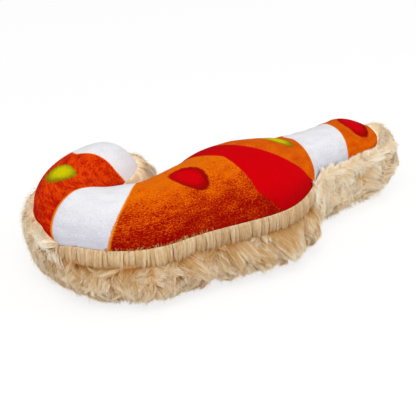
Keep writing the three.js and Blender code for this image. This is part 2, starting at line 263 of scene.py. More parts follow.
def pile_skin(way, side, depth, growth=1.0):
    """The pile's outer form at a depth under the seam: the band's stand eases into the skirt's on the way
    down, and a boxy superellipse draws it in toward the floor. A depth under nought goes back over the tufts'
    lip, a quarter ellipse that ends against the printed dome."""
    centre, lean, fade = stations(way)
    over = np.clip(1 + depth / LIP, 0, 1)
    fallen = np.maximum(depth, 0)
    flare = smooth((fallen - BAND_DEPTH) / (FLARE_DEPTH - BAND_DEPTH))
    pile = pile_length(PILE, way, side)
    stand = pile_length(STAND, way, side, 1.0)
    rise = lip_rise(way, side) * (1 + growth) / 2
    steep = np.clip(rise / along_cane(centre, CROWNS), 0, 0.9)
    hug = along_cane(centre, HALF_WIDTHS) * (1 - np.sqrt(1 - steep * steep)) * (1 - over)
    out = (stand + (pile - stand) * flare) * growth * np.sin(over * np.pi / 2) - 0.9 * hug
    out = out + tuft_swell(way, side, fallen) * flare * pile / BELLY_PILE
    power = along_cane(centre, BOXINESS)
    inward = (1 - np.clip(fallen / SEAM_HEIGHT, 0, 1) ** power) ** (1 / power)
    tuck = END_TUCK * smooth((fallen - FLARE_DEPTH) / (SEAM_HEIGHT - FLARE_DEPTH))
    u = centre + lean * (end_half_width(lean) + out - tuck)
    crest = np.maximum(rise, 0) * np.cos(over * np.pi / 2) + np.minimum(rise, 0) * np.sin(over * np.pi / 2)
    crest = crest - SHOULDER_DROP * over * over
    crest = crest - np.where(side < 0, seam_sag(u), 0)
    height = SEAM_HEIGHT - fallen + crest * (1 - smooth(fallen / BAND_DEPTH))
    return on_cane(u, side * (along_cane(u, HALF_WIDTHS) + out) * fade * inward, height)


def calm(side, way):
    """1 where the pile lies combed and 0 where it is tousled, with smooth steps between."""
    centre = stations(way)[0]
    near, far = (
        smooth((centre - start) / ease_in) * smooth((end - centre) / ease_out)
        for start, ease_in, end, ease_out in (NEAR_COMBED, FAR_COMBED))
    return np.where(side < 0, near, far)


def fur_ground(way, side, depth):
    """The ground that the strands grow from: on the sewn outline at the combed seam, and let out by a share
    of the pile's stand elsewhere."""
    combed = calm(side, way)
    let_out = np.maximum(1 - combed, smooth((depth - 3) / 12))
    share = GROUND_SHARE * combed + LOOSE_GROUND_SHARE * (1 - combed)
    share = share * (1 - 0.6 * smooth((depth - 27) / 6))
    return pile_skin(way, side, depth, share * let_out)


def outward(way, side, angle):
    """Unit vector away from the stuffing: level at the seam and straight down under the middle."""
    centre, lean, fade = stations(way)
    flat = way_along(centre) * lean[..., None] + left_of(centre) * (side * fade)[..., None]
    flat = flat * np.cos(angle)[..., None]
    return np.concatenate([flat, -np.sin(angle)[..., None]], -1)


# Meshes


def add_object(name, data):
    """A new object at the scene's origin."""
    added = bpy.data.objects.new(name, data)
    bpy.context.scene.collection.objects.link(added)
    return added


def add_piece(name, mesh, finish):
    """An object with one finish."""
    mesh.materials.append(finish)
    return add_object(name, mesh)


def in_a_row(values, kind=np.float32):
    """All numbers of an array in one row, as foreach_set takes them."""
    return np.ascontiguousarray(values, kind).ravel()


def mesh_of(name, points, triangles):
    """A mesh from arrays of points in millimetres and corner indices."""
    mesh = bpy.data.meshes.new(name)
    mesh.vertices.add(len(points))
    mesh.vertices.foreach_set("co", in_a_row(points * MM))
    mesh.loops.add(triangles.size)
    mesh.loops.foreach_set("vertex_index", in_a_row(triangles, np.int32))
    mesh.polygons.add(len(triangles))
    mesh.polygons.foreach_set("loop_start", np.arange(0, triangles.size, triangles.shape[1], dtype=np.int32))
    mesh.update(calc_edges=True)
    return mesh


def grid_faces(rows, columns):
    """Corner indices of the quads of a grid of rows by columns of points, facing out of the toy."""
    corner = (np.arange(rows - 1)[:, None] * columns + np.arange(columns - 1)).ravel()
    return np.stack([corner, corner + 1, corner + columns + 1, corner + columns], -1)


def set_corner_map(mesh, name, values):
    """A UV map from a pair of values for each vertex."""
    corners = np.empty(len(mesh.loops), np.int32)
    mesh.loops.foreach_get("vertex_index", corners)
    layer = mesh.uv_layers.new(name=name)
    layer.uv.foreach_set("vector", in_a_row(values[corners]))


def set_number(mesh, name, values):
    """A float attribute from a value for each vertex."""
    attribute = mesh.attributes.new(name, "FLOAT", "POINT")
    attribute.data.foreach_set("value", in_a_row(values))


def close_poles(mesh):
    """Merges the points that lie on one another, where a grid's first and last rows shrink to a point."""
    shape = bmesh.new()
    shape.from_mesh(mesh)
    bmesh.ops.remove_doubles(shape, verts=shape.verts, dist=1e-6)
    shape.to_mesh(mesh)
    shape.free()


def smooth_shaded(mesh):
    """Shades every face smoothly."""
    mesh.polygons.foreach_set("use_smooth", np.ones(len(mesh.polygons), bool))
    mesh.update()


# Shader expressions


class Value:
    """A shader value: a socket, with the operators that make Math nodes."""

    def __init__(self, nodes, socket):
        self.nodes = nodes
        self.socket = socket

    def math(self, operation, other):
        return self.nodes.node("Math", {"operation": operation}, {0: self, 1: other})

    def __add__(self, other):
        return self.math("ADD", other)

    __radd__ = __add__

    def __sub__(self, other):
        return self.math("SUBTRACT", other)

    def __rsub__(self, other):
        return self.nodes.node("Math", {"operation": "SUBTRACT"}, {0: other, 1: self})

    def __mul__(self, other):
        return self.math("MULTIPLY", other)

    __rmul__ = __mul__

    def __truediv__(self, other):
        return self.math("DIVIDE", other)

    def least(self, other):
        return self.math("MINIMUM", other)

    def most(self, other):
        return self.math("MAXIMUM", other)

    def power(self, other):
        return self.math("POWER", other)

    def ramp(self, low, high):
        """0 below low, 1 above high and a smooth step between; high may be the lower one."""
        settings = {"interpolation_type": "SMOOTHSTEP"}
        return self.nodes.node("MapRange", settings, {0: self, 1: low, 2: high, 3: 0.0, 4: 1.0})


class Nodes:
    """A node tree, and the method that makes its nodes."""

    def __init__(self, tree):
        self.tree = tree

    def node(self, kind, settings, inputs, output=0):
        """Any node: its settings first, then the values or links of its sockets."""
        node = self.tree.nodes.new("ShaderNode" + kind)
        for name, value in settings.items():
            setattr(node, name, value)
        for key, value in inputs.items():
            self.feed(node.inputs[key], value)
        return Value(self, node.outputs[output])

    def feed(self, socket, value):
        """Links a shader value to a socket, or sets a plain one on it."""
        if isinstance(value, Value):
            self.tree.links.new(value.socket, socket)
        else:
            socket.default_value = value


class Finish(Nodes):
    """A node material with one Principled shader, and constants on the shader's own sockets."""

    def __init__(self, name, **constants):
        self.material = bpy.data.materials.new(name)
        self.material.use_nodes = True
        super().__init__(self.material.node_tree)
        self.shader = self.tree.nodes["Principled BSDF"]
        for socket, value in constants.items():
            self.shader.inputs[socket.replace("_", " ")].default_value = value

    def set(self, socket, value):
        """Feeds a socket of the shader."""
        self.feed(self.shader.inputs[socket], value)

    def place(self):
        """Object coordinates."""
        return self.node("TexCoord", {}, {}, "Object")

    def noise(self, scale, detail, rough, place=None):
        """Fractal noise, on object coordinates where no place is given."""
        inputs = {"Vector": place or self.place(), "Scale": scale, "Detail": detail, "Roughness": rough}
        return self.node("TexNoise", {}, inputs, "Fac")

    def number(self, name):
        """A float attribute of the mesh."""
        return self.node("Attribute", {"attribute_name": name}, {}, "Fac")

    def mix(self, share, first, second):
        """A colour between two, by a share."""
        inputs = {0: share, 6: first, 7: second}
        return self.node("Mix", {"data_type": "RGBA"}, inputs, 2)

    def dressed(self, colour, height, strength, distance):
        """The material with its colour, and with bumps from a height, of a distance in metres."""
        inputs = {"Height": height, "Strength": strength, "Distance": distance}
        self.set("Base Color", colour)
        self.set("Normal", self.node("Bump", {}, inputs))
        return self.material


def tint(red, green, blue):
    """A display colour, 0 to 255, as linear light."""
    shown = np.array([red, green, blue]) / 255
    linear = np.where(shown <= 0.04045, shown / 12.92, ((shown + 0.055) / 1.055) ** 2.4)
    return (*linear.tolist(), 1.0)


# Printed plush


# One unit of the print's map, in millimetres along the cane and in degrees round it, the crest's turn in
# degrees, and the scale of the plush's grain on that map
MAP_UNIT = 100.0
CREST = 90.0
GRAIN_SCALE = (80.0, 62.0, 0.0)


def stripe_edges(turn):
    """Where each colour of the print ends along the cane, in millimetres, for a turn in degrees off the
    crest: lines and parabolas, with smooth steps where an edge swings away."""
    return {
        "tip_white": turn.least(10) * 0.215 - 74.1 - turn.ramp(0, 75) * 12,
        "crook_orange": (turn - 32).power(2) * 0.00085 - 40.7 + turn.ramp(15, -30) * 6,
        "foot_white": turn * -0.16 - 12.7 + turn * turn * 0.00075,
        "belly_orange": (turn * 0.45 + 42.5).least(turn * 0.06 + 43.8) + (turn - 58).most(0) * 0.42,
        "red_band": turn * 0.345 + 60.6,
        "waist_orange": turn * -0.115 + 101.0 - turn * turn * 0.00022,
        "shaft_white": turn.most(-30) * -0.1 + 135.2 - turn.ramp(-15, -85) * 12,
    }


# Gumdrops: along the cane, turn off the crest in degrees, half length, half turn, tilt in degrees per
# millimetre, and whether it is lime
GUMDROPS = (
    (-57.5, 19.5, 6.2, 22.0, -0.65, True),
    (17.6, 16.8, 9.0, 22.5, 0.85, False),
    (87.0, 1.0, 7.2, 18.0, 1.2, True),
    (151.5, 8.0, 7.8, 41.0, -0.8, False),
)


def printed_plush():
    """Candy-cane stripes and gumdrop ovals on short pile, with a speckled grain in the orange, and painted
    shade that darkens the stripes toward the near seam.
    """
    finish = Finish("printed_plush", Roughness=0.9, Specular_IOR_Level=0.02)
    cane_map = finish.node("UVMap", {"uv_map": "cane"}, {})
    cloth = finish.node("VectorMath", {"operation": "MULTIPLY"}, {0: cane_map, 1: GRAIN_SCALE})
    grain = finish.noise(1.1, 3.0, 0.65, cloth) - 0.5
    thread = finish.noise(2.6, 2.0, 0.6, cloth) - 0.5
    blotch = finish.noise(0.13, 3.0, 0.6, cloth) - 0.5
    speck = finish.noise(0.5, 2.0, 0.6, cloth) - 0.5
    fleck_cells = {"Vector": cloth, "Scale": 0.2}
    fleck = finish.node("TexVoronoi", {}, fleck_cells, "Distance") + grain * 0.3
    fleck_colour = finish.node("TexVoronoi", {}, fleck_cells, "Color")
    fleck_tone = finish.node("SeparateColor", {}, {0: fleck_colour}, 0)
    flecks = fleck.ramp(0.26, 0.12) * fleck_tone.ramp(0.55, 0.65)
    along = finish.node("SeparateXYZ", {}, {0: cane_map}, 0) * MAP_UNIT + grain * 1.2
    turn = finish.node("SeparateXYZ", {}, {0: cane_map}, 1) * MAP_UNIT + thread * 3.0
    edges = {name: along - edge for name, edge in stripe_edges(turn).items()}

    mottle = grain * 2.6 + thread * 2.6 + blotch * 1.5
    # The orange darkens toward the near seam, to red-brown on the belly: partly the print's own gradient,
    # partly painted shade where the dome turns down from the light.
    singe_and_painted_shade = turn.ramp(-25.0, 95.0) * 1.3 + mottle - 0.14
    warm = finish.mix((singe_and_painted_shade - 0.1).ramp(0.0, 0.6), tint(229, 111, 4), tint(204, 66, 2))
    warm = finish.mix(flecks * 0.45, warm, tint(184, 24, 4))
    belly = finish.mix((singe_and_painted_shade - 0.62).ramp(0.0, 0.42), warm, tint(148, 2, 2))
    # The crook's orange: red specks of the print, and painted shade that darkens it toward the near seam.
    ember_and_painted_shade = (mottle * 0.8 + speck * 2.4 + blotch * 2.2 + turn.ramp(10.0, 90.0) * 0.4 + 0.4).ramp(-0.1, 1.1)
    crook = finish.mix(ember_and_painted_shade, tint(230, 68, 3), tint(178, 12, 2))
    plain = finish.mix((mottle + 0.4).ramp(0.0, 1.0), tint(228, 106, 2), tint(196, 58, 2))

    # Painted shade: the white greys toward the near seam, where the dome turns down from the light, with the
    # plush's mottle in it.
    white_painted_shade = (turn.ramp(20.0, 85.0) * 0.6 + mottle * 0.4 + blotch * 0.25 + 0.2).ramp(0.0, 1.0)
    white = finish.mix(white_painted_shade, tint(239, 239, 242), tint(202, 200, 210))
    # Painted shade on the red stripe: darker toward the near seam, and toward the far side past the crest.
    red_with_painted_shade = finish.mix(turn.ramp(55.0, 88.0) * 0.6 + mottle * 0.15, tint(204, 0, 9), tint(158, 0, 7))
    red = finish.mix(turn.ramp(0.0, -40.0), red_with_painted_shade, tint(176, 0, 8))

    colour = white
    for edge, after in zip(edges.values(), (crook, white, belly, red, plain, white, plain)):
        colour = finish.mix(edge.ramp(-0.3, 0.3), colour, after)
    lined = {"tip_white": 1, "crook_orange": -1, "foot_white": 1, "waist_orange": -1, "shaft_white": 1}
    for name, side in lined.items():
        past = edges[name] * side
        line = past.ramp(-0.2, 0.2) * past.ramp(1.0, 0.4)
        colour = finish.mix(line * 0.7, colour, tint(240, 146, 24))
    for gumdrop in GUMDROPS:
        colour = with_gumdrop(finish, colour, along, turn, gumdrop, grain + speck)
    return finish.dressed(colour, thread + grain, 0.35, 0.0011)


def radius(across, length):
    """Root of the sum of two squares."""
    return (across * across + length * length).power(0.5)


def with_gumdrop(finish, colour, along, turn, gumdrop, fuzz):
    """A slanted oval of sugar colour with a dark, fuzzy rim, broader on the side away from the light."""
    centre, lift, half_length, half_turn, tilt, lime = gumdrop
    length = along - centre
    across = (turn - lift - length * tilt) / half_turn
    length = length * (1 + across * 0.2) / half_length
    distance = radius(across, length) + fuzz * 0.22
    inner = radius(across + 0.1, length + 0.1) + fuzz * 0.5
    if lime:
        face = finish.mix(inner.ramp(0.3, 1.05), tint(206, 198, 4), tint(138, 114, 6))
    else:
        face = finish.mix(inner.ramp(0.4, 1.05), tint(207, 0, 11), tint(144, 6, 5))
    return finish.mix(distance.ramp(1.06, 0.92), colour, face)


# Cloth simulation of the panel: how much larger the copy is, its frames, pressure, slack and stiffness, how
# much narrower it starts and how far a point may move
PUFF_SCALE = 10.0
PUFF_FRAMES = 20
PUFF_PRESSURE = 4.0
PUFF_SLACK = 0.03
PUFF_STIFFNESS = 2.0
PUFF_ROOM = 1.1
PUFF_CAP = 2.2


def puffed(points):
    """The panel's points after a cloth simulation of a copy that is sewn fast at its rim, cut a little large
    and blown up from within. The stuffing lets no point sink in, and a hyperbolic tangent holds how far it
    moves under the cap."""
    rows, columns, _ = points.shape
    scene = bpy.context.scene
    mesh = mesh_of("puff", points.reshape(-1, 3) * PUFF_SCALE, grid_faces(rows, columns))
    copy = add_object("puff", mesh)
    sewn = np.zeros((rows, columns), bool)
    sewn[[0, -1]] = True
    sewn[:, [0, -1]] = True
    copy.vertex_groups.new(name="rim").add(np.flatnonzero(sewn).tolist(), 1.0, "REPLACE")
    cloth = copy.modifiers.new("puff", "CLOTH")
    cloth.settings.vertex_group_mass = "rim"
    cloth.settings.use_pressure = True
    cloth.settings.uniform_pressure_force = PUFF_PRESSURE
    cloth.settings.effector_weights.gravity = 0.0
    cloth.settings.shrink_min = -PUFF_SLACK
    cloth.settings.bending_stiffness = PUFF_STIFFNESS
    cloth.collision_settings.use_collision = False
    for step in range(1, PUFF_FRAMES + 1):
        scene.frame_set(step)
    solved = copy.evaluated_get(bpy.context.evaluated_depsgraph_get()).data
    moved = np.empty(points.size, np.float32)
    solved.vertices.foreach_get("co", moved)
    scene.frame_set(1)
    bpy.data.objects.remove(copy)
    move = moved.reshape(points.shape) / (MM * PUFF_SCALE) - points
    up = unit(np.cross(np.gradient(points, axis=1), np.gradient(points, axis=0)))
    move = move - up * np.minimum((move * up).sum(-1, keepdims=True), 0)
    far = np.maximum(np.linalg.norm(move, axis=-1, keepdims=True), 1e-9)
    return points + move * PUFF_CAP * np.tanh(far / PUFF_CAP) / far


def make_printed_face():
    """The printed dome on a grid along and across the cane, puffed by cloth simulation."""
    rows, columns = 216, 49
    way, turn = np.meshgrid(np.linspace(0, WAY_LENGTH, rows), np.linspace(0, np.pi, columns), indexing="ij")
    points = printed_dome(way, turn)
    points = printed_dome(way, turn, PUFF_ROOM)
    points[1:-1] = puffed(points[1:-1])
    mesh = mesh_of("printed_panel", points.reshape(-1, 3), grid_faces(rows, columns))
    centre, lean, _ = stations(way)
    along = centre + lean * end_half_width(lean)
    print_map = np.stack([along, np.degrees(turn) - CREST], -1) / MAP_UNIT
    set_corner_map(mesh, "cane", print_map.reshape(-1, 2))
    set_corner_map(mesh, "OFBake", np.stack([way / WAY_LENGTH, turn / np.pi], -1).reshape(-1, 2))
    close_poles(mesh)
    smooth_shaded(mesh)
    piece = add_piece("printed_panel", mesh, printed_plush())
    finer = piece.modifiers.new("finer", "SUBSURF")
    finer.levels = 1
    finer.render_levels = 1
    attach(piece, "root")
    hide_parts("printed_face")


# Long-pile fur


def fur_finish():
    """Cream pile: tan at the root, paler toward the tip, each strand with a shade of its own."""
    finish = Finish("cream_fur", Roughness=0.8, Specular_IOR_Level=0.1)
    along = finish.number("along")
    shade = finish.number("shade")
    # The tan toward the root is partly the pile's own colour and partly painted shade, standing in for the
    # warm shade deep in the pile.
    root = finish.mix(shade, tint(172, 112, 50), tint(232, 192, 134))
    body = finish.mix(shade, tint(206, 162, 104), tint(250, 230, 195))
    tip = finish.mix(shade, tint(228, 192, 138), tint(255, 250, 235))
    lower = finish.mix(along.ramp(0.05, 0.5), root, body)
    finish.set("Base Color", finish.mix(along.ramp(0.5, 1.0), lower, tip))
    return finish.material


# A strand's four rows of points: how far along its curve each is, and its share of the strand's width
STRAND_SHARES = np.array([0.0, 0.4, 0.75, 1.0])
STRAND_WIDTHS = np.array([1.0, 0.95, 0.7, 0.0])

# A strand's points, two in each row and one at its tip: the side of the spine that each lies on
STRAND_SIDES = np.array([-1, 1, -1, 1, -1, 1, 0])
STRAND_TRIANGLES = np.array([[0, 1, 3], [0, 3, 2], [2, 3, 5], [2, 5, 4], [4, 5, 6]])
STRAND_POINTS = len(STRAND_SIDES)

# How high over the floor a strand's points stay
FLOOR_GAP = 0.15

# How many strands the pieces of the fur have at most, and in how many stretches the skirt is made
BAND_STRANDS = 38000
SKIRT_STRANDS = 36000
SKIRT_STRETCHES = 7
TUFT_STRANDS = 39000
UNDER_STRANDS = 22000
CAUGHT_STRANDS = 80

# The pitch and half width of the band's ridges, and the size of the loose pile's tufts and wisps
RIDGE_PITCH = 2.0
RIDGE_HALF_WIDTH = 1.5
TUFT_SIZE = 7.0
WISP_SIZE = 1.9

# How far a strand's bend strays, which mats the pile
CRIMP = 0.7

# How far along its colours each row of a strand is: loose pile, end tufts, combed band and caught ends
LOOSE = (0.0, 0.4, 0.75, 1.0)
FLUFFY = (0.4, 0.65, 0.88, 1.0)
COMBED = (0.44, 0.4, 0.33, 0.26)
CAUGHT = (0.0, 0.0, 0.05, 0.1)


def strand_points(root, knee, tip):
    """Four points on a parabola from root to tip, drawn toward the knee."""
    share = STRAND_SHARES[:, None]
    bent = root[:, None] * (1 - share) ** 2 + knee[:, None] * (2 * share * (1 - share))
    return bent + tip[:, None] * share ** 2


def unit(vectors):
    """Vectors divided by their lengths."""
    return vectors / np.maximum(np.linalg.norm(vectors, axis=-1, keepdims=True), 1e-9)


def make_strands(name, root, knee, tip, facing, width, shade, finish, colours=LOOSE):
    """Flat tapering ribbons of five triangles. Each ribbon's breadth lies across its way and its facing, and
    the map for baking places it by its shade."""
    shade = np.clip(shade, 0, 1)
    spine = strand_points(root, knee, tip)
    spine[..., 2] = np.maximum(spine[..., 2], FLOOR_GAP)
    way = unit(np.gradient(spine, axis=1))
    breadth = unit(np.cross(way, facing[:, None])) * (width[:, None] * STRAND_WIDTHS / 2)[..., None]
    pairs = np.stack([spine - breadth, spine + breadth], 2)
    count = len(root)
    points = np.concatenate([pairs[:, :-1].reshape(count, -1, 3), spine[:, -1:]], 1)
    triangles = (np.arange(count)[:, None, None] * STRAND_POINTS + STRAND_TRIANGLES).reshape(-1, 3)
    mesh = mesh_of(name, points.reshape(-1, 3), triangles)
    along = np.repeat(colours, 2)[:STRAND_POINTS]
    set_number(mesh, "along", np.tile(along, count))
    set_number(mesh, "shade", np.repeat(shade, STRAND_POINTS))
    spread = np.clip(shade[:, None] * 0.96 + 0.02 + STRAND_SIDES / 96, 0, 1)
    bake = np.stack([spread, np.tile(along, (count, 1))], -1)
    set_corner_map(mesh, "OFBake", bake.reshape(-1, 2))
    smooth_shaded(mesh)
    piece = add_piece(name, mesh, finish)
    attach(piece, "root")


def outline_lengths(side):
    """Lengths along the cane, and the length of the sewn outline on that side up to each."""
    way = np.linspace(0, WAY_LENGTH, 1500)
    edge = backing(way, np.full_like(way, side), np.zeros_like(way))
    steps = np.linalg.norm(np.diff(edge, axis=0), axis=1)
    return way, np.concatenate([[0], np.cumsum(steps)])


OUTLINES = {side: outline_lengths(side) for side in (-1, 1)}


def way_at(side, length):
    """The length along the cane where the outline on each strand's side has a given length."""
    right = np.interp(length, OUTLINES[-1][1], OUTLINES[-1][0])
    left = np.interp(length, OUTLINES[1][1], OUTLINES[1][0])
    return np.where(side > 0, left, right)


def along_outline(random, count):
    """Random sides and outline lengths, even along the whole seam."""
    right, left = OUTLINES[-1][1][-1], OUTLINES[1][1][-1]
    spot = random.random(count) * (right + left)
    side = np.where(spot < right, -1.0, 1.0)
    return side, np.where(side < 0, spot, spot - right)


def sown(random, count, chance, most=None):
    """Random sides, outline lengths and ways along the cane, each kept by its chance, up to the most."""
    side, length = along_outline(random, count)
    way = way_at(side, length)
    kept = np.flatnonzero(random.random(count) < chance(side, way))[:most]
    return side[kept], length[kept], way[kept]


# Where the far side's outline starts on the grid of guide points, past the near side's end, and how far out
# the two sides lie on the soft fields
FAR_SPOT = 400.0
SIDE_SPOT = 700.0


def nearest_wisp(random, side, length, depth, size, scatter=1.0):
    """The nearest of scattered guide points, one in each cell of a grid: its length, its depth and four
    random numbers of its own."""
    spot = length + np.where(side > 0, FAR_SPOT, 0)
    level = depth + LIP
    column, row = np.floor(spot / size).astype(int), np.floor(level / size).astype(int)
    numbers = random.random((int(2 * FAR_SPOT / size) + 3, int((SEAM_HEIGHT + LIP) / size) + 3, 6))
    numbers[..., :2] = 0.5 + scatter * (numbers[..., :2] - 0.5)
    nearest = np.full(len(spot), np.inf)
    guide = np.zeros((len(spot), 6))
    for across, down in np.ndindex(3, 3):
        cell = numbers[column + across, row + down]
        cell[:, 0] = (column + across - 1 + cell[:, 0]) * size
        cell[:, 1] = (row + down - 1 + cell[:, 1]) * size
        distance = (cell[:, 0] - spot) ** 2 + (cell[:, 1] - level) ** 2
        nearer = distance < nearest
        nearest[nearer] = distance[nearer]
        guide[nearer] = cell[nearer]
    return guide[:, 0] - spot + length, guide[:, 1] - LIP, guide[:, 2:]


def ripples(random, side, length, depth, size):
    """A soft random field over the furry side: six sines of random heading and phase, about one size long,
    whose sum is divided by its own spread."""
    sines = 6
    heading = random.random(sines) * 2 * np.pi
    phase = random.random(sines) * 2 * np.pi
    pitch = 2 * np.pi / (size * random.uniform(0.7, 1.4, sines))
    across = (length + SIDE_SPOT * side)[:, None] * pitch * np.cos(heading)
    return np.sin(across + depth[:, None] * pitch * np.sin(heading) + phase).sum(1) / math.sqrt(sines / 2)


def make_combed_band(finish):
    """Strands that loop out at the seam and hang flat down the side, gathered into rounded ridges."""
    random = np.random.default_rng(11)
    side, length, way = sown(random, 60000, lambda *at: smooth((calm(*at) - 0.2) / 0.6), BAND_STRANDS)
    count = len(side)
    level = np.zeros(count)
    spacing = length + 1.1 * ripples(random, side, length, level, 13.0)
    ridge_middle, _, own = nearest_wisp(random, side, spacing, level, RIDGE_PITCH, 0.6)
    offset = spacing - ridge_middle
    bulge = np.sqrt(np.clip(1 - (offset / RIDGE_HALF_WIDTH) ** 2, 0, 1))
    layer = random.random(count)
    tip_way = way_at(side, length - 0.5 * offset + 1.8 * (own[:, 0] - 0.5) + random.normal(0, 0.4, count))
    out = outward(way, side, level)
    tip_out = outward(tip_way, side, level)
    drop = 5.5 + 4.0 * own[:, 1] + 2.0 * bulge + random.normal(0, 1.2, count)
    drop = drop - 4.0 * random.random(count) ** 3
    stand = 0.6 + 0.7 * own[:, 2] + 1.0 * bulge * layer
    root = backing(way, side, level) + out * (1.0 * bulge * layer - 0.5)[:, None]
    root[:, 2] += 0.9 * bulge * layer - 0.3
    tip = backing(tip_way, side, level) + tip_out * stand[:, None]
    tip[:, 2] -= drop
    knee = (root + tip) / 2 + out * (0.6 + 1.2 * bulge * layer)[:, None]
    knee[:, 2] += 2.0
    # Painted shade between the ridges: strands at a ridge's middle and outer layer are paler and those at its
    # sides darker, on each ridge's own tone.
    shade = 0.43 + 0.4 * (own[:, 3] - 0.5) + 0.22 * (bulge * layer - 0.4) + random.normal(0, 0.18, count)
    width = random.uniform(0.13, 0.24, count)
    facing = unit(out + tip_out)
    make_strands("fur_combed_band", root, knee, tip, facing, width, shade, finish, COMBED)


def make_caught_pile(finish):
    """Ends of pile caught in the near seam, which lie up over the printed dome at the foot of the crook."""
    random = np.random.default_rng(17)
    count = CAUGHT_STRANDS
    centre = random.uniform(-22.0, 18.0, count)
    way = centre - TIP_CENTRE + TIP_CAP
    side = np.full(count, -1.0)
    out = outward(way, side, np.zeros(count))
    root = printed_dome(way, np.full(count, np.pi)) + out * 0.5
    root[:, 2] -= 0.6
    lie = random.uniform(0.05, 0.13, count)
    tip = printed_dome(way + random.normal(0.3, 0.7, count), np.pi - lie) + out * 0.45
    knee = printed_dome(way, np.pi - 0.5 * lie) + out * 0.8
    shade = 0.4 * random.random(count)
    width = random.uniform(0.25, 0.45, count)
    make_strands("fur_caught_pile", root, knee, tip, out, width, shade, finish, CAUGHT)


def lay_pile(name, random, side, length, depth, pale_with_painted_shade_and_light, streaks, loft, finish, colours=LOOSE):
    """Strands that grow out of the ground and lie along the pile's outer form. Each is drawn toward its tuft
    and its wisp, and soft fields sweep the tufts along, let them hang and let them grow."""
    number = len(length)
    way = way_at(side, length)
    centre, lean, _ = stations(way)
    toe = smooth((centre - 100) / 35)
    soft = (1 - calm(side, way)) * (1 - toe) * np.where(side < 0, 1.0, 0.2)
    fields = np.random.default_rng(5)
    tuft_length, tuft_depth, tuft = nearest_wisp(fields, side, length, depth, TUFT_SIZE)
    wisp_length, wisp_depth, wisp = nearest_wisp(fields, side, length, depth, WISP_SIZE)
    sweep, hang, grow, tone = (
        ripples(fields, side, tuft_length, tuft_depth, size) for size in (18.0, 16.0, 14.0, 15.0))
    drawn = (0.2 + 0.35 * random.random(number)) * (1 - 0.6 * soft)
    sweep = sweep * (1 - 0.5 * soft)
    pointed = 0.35 + 0.35 * smooth((depth - 14) / 8)
    tip_length = length + (tuft_length - length) * drawn + (wisp_length - length) * pointed
    tip_length = tip_length + 1.0 + 4.0 * toe + 4.2 * sweep
    tip_length = tip_length + 8.0 * (tuft[:, 0] - 0.5) + 3.5 * (wisp[:, 0] - 0.5)
    tip_depth = depth + (tuft_depth - depth) * drawn + (wisp_depth - depth) * pointed
    fall = 6.5 - 4.5 * toe + 1.8 * hang
    tip_depth = tip_depth + (fall + (5.5 + 3.5 * toe) * (tuft[:, 1] - 0.5) + 3.5 * (wisp[:, 1] - 0.5))
    furrow_foot = 12.0 - 3.5 * smooth(0.5 + 0.6 * hang)
    ragged = calm(side, way + 10.0 * (tuft[:, 0] - 0.5))
    highest = furrow_foot * ragged - LIP * (1 - ragged) * (1 - toe * (0.2 + 0.4 * lean * lean))
    tip_depth = np.clip(tip_depth, highest, PILE_FOOT + 4.0 * wisp[:, 1])
    loft = loft * (1 - 0.6 * soft) * (1 - 0.4 * toe * np.abs(lean))
    growth = 0.96 + loft * (0.4 * grow + (tuft[:, 2] - 0.5) + 1.3 * (wisp[:, 2] - 0.5))
    growth = growth * (1 - 0.3 * random.random(number) ** 2)
    tip = pile_skin(way_at(side, tip_length), side, tip_depth, growth)
    knee_way = way_at(side, length + (tip_length - length) * 0.3)
    knee = pile_skin(knee_way, side, depth + 0.2 * (tip_depth - depth), growth * 1.15)
    knee = knee + random.normal(0, CRIMP, (number, 3))
    tip = tip + random.normal(0, CRIMP, (number, 3)) * 0.6
    root = fur_ground(way, side, depth)
    out = outward(way, side, np.arcsin(np.maximum(depth, 0) / STUFFING_DEPTH))
    shade = pale_with_painted_shade_and_light + streaks * (0.4 * tone + 1.3 * (wisp[:, 3] - 0.5) + random.normal(0, 0.25, number))
    width = random.uniform(0.16, 0.3, number)
    facing = unit(out + [0, 0, 0.5] + random.normal(0, 0.2, (number, 3)))
    make_strands(name, root, knee, tip, facing, width, shade, finish, colours)


def make_skirt(name, seed, ways, finish):
    """One stretch of the shaggy pile that flares to the floor, darkened to tan by painted shade in the groove
    under the combed band and in patches of a soft field."""
    random = np.random.default_rng(seed)
    side, length = along_outline(random, SKIRT_STRANDS * 9)
    way = way_at(side, length)
    kept = np.flatnonzero((way >= ways[0]) & (way < ways[1]))[:SKIRT_STRANDS]
    side, length, way = side[kept], length[kept], way[kept]
    combed = calm(side, way)
    highest = 9.0 * combed
    depth = highest + (26 - highest) * random.random(len(kept))
    furrow_painted_shade = combed * smooth((15 - depth) / 5)
    painted_shade_pockets = smooth(ripples(np.random.default_rng(6), side, length, depth, 17.0)) * smooth((22 - depth) / 8)
    # Paler where the pile is tousled, partly its own tone and partly painted light against the shade among
    # its tufts; painted shade darkens the groove under the combed band and the soft field's patches.
    pale_with_painted_shade_and_light = 0.56 + 0.42 * (1 - combed) - 0.3 * furrow_painted_shade - (0.35 + 0.3 * combed) * painted_shade_pockets
    streaks = 0.28 + 0.16 * combed
    lay_pile(name, random, side, length, depth, pale_with_painted_shade_and_light, streaks, 0.2, finish)


def make_end_tufts(finish):
    """Paler tufts that rise over the seam in a round lip, at the toe, the crook's tip and its bend."""
    random = np.random.default_rng(23)
    side, length, way = sown(random, 150000, lambda *at: (1 - calm(*at)) * 0.55, TUFT_STRANDS)
    depth = (LIP + 5.0) * random.random(len(side)) - 0.95 * LIP
    _, lean, _ = stations(way)
    # Paler toward the two ends: painted light that evens out the shade on the end tufts, which turn away from
    # the key lamp.
    pale_with_painted_shade_and_light = 0.94 + 0.1 * np.abs(lean)
    lay_pile("fur_end_tufts", random, side, length, depth, pale_with_painted_shade_and_light, 0.3, 0.3, finish, FLUFFY)


def overhang_chance(side, way):
    """Half where the pile is tousled at the toe, on the near side from the waist on, and 0 elsewhere."""
    centre, lean, _ = stations(way)
    return (1 - calm(side, way)) * np.where(side < 0, smooth((centre - 80) / 15), smooth(lean - 0.3)) * 0.5


